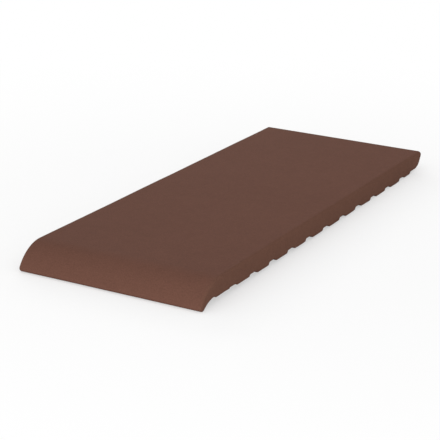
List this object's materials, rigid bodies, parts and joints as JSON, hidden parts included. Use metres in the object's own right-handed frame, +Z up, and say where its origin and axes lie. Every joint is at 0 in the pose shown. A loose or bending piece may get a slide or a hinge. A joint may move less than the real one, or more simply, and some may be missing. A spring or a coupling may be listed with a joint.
{
  "type": "clinker window sill",
  "caption": "Ribbed clinker window sill tile: flat top, curved nose with a drip edge, keyed ribbed underside and rounded back edge.",
  "frame": {"origin": "on the level of the drip edge, under the middle of the tile's length and width", "axes": "+Z up out of the top face, +Y from the nose to the back edge, +X along the window, the way the section is extruded"},
  "size_m": [0.12, 0.305, 0.015],
  "materials": {
    "clinker": "matte"
  },
  "bodies": {
    "root": {"window_sill": "clinker"}
  },
  "joints": []
}
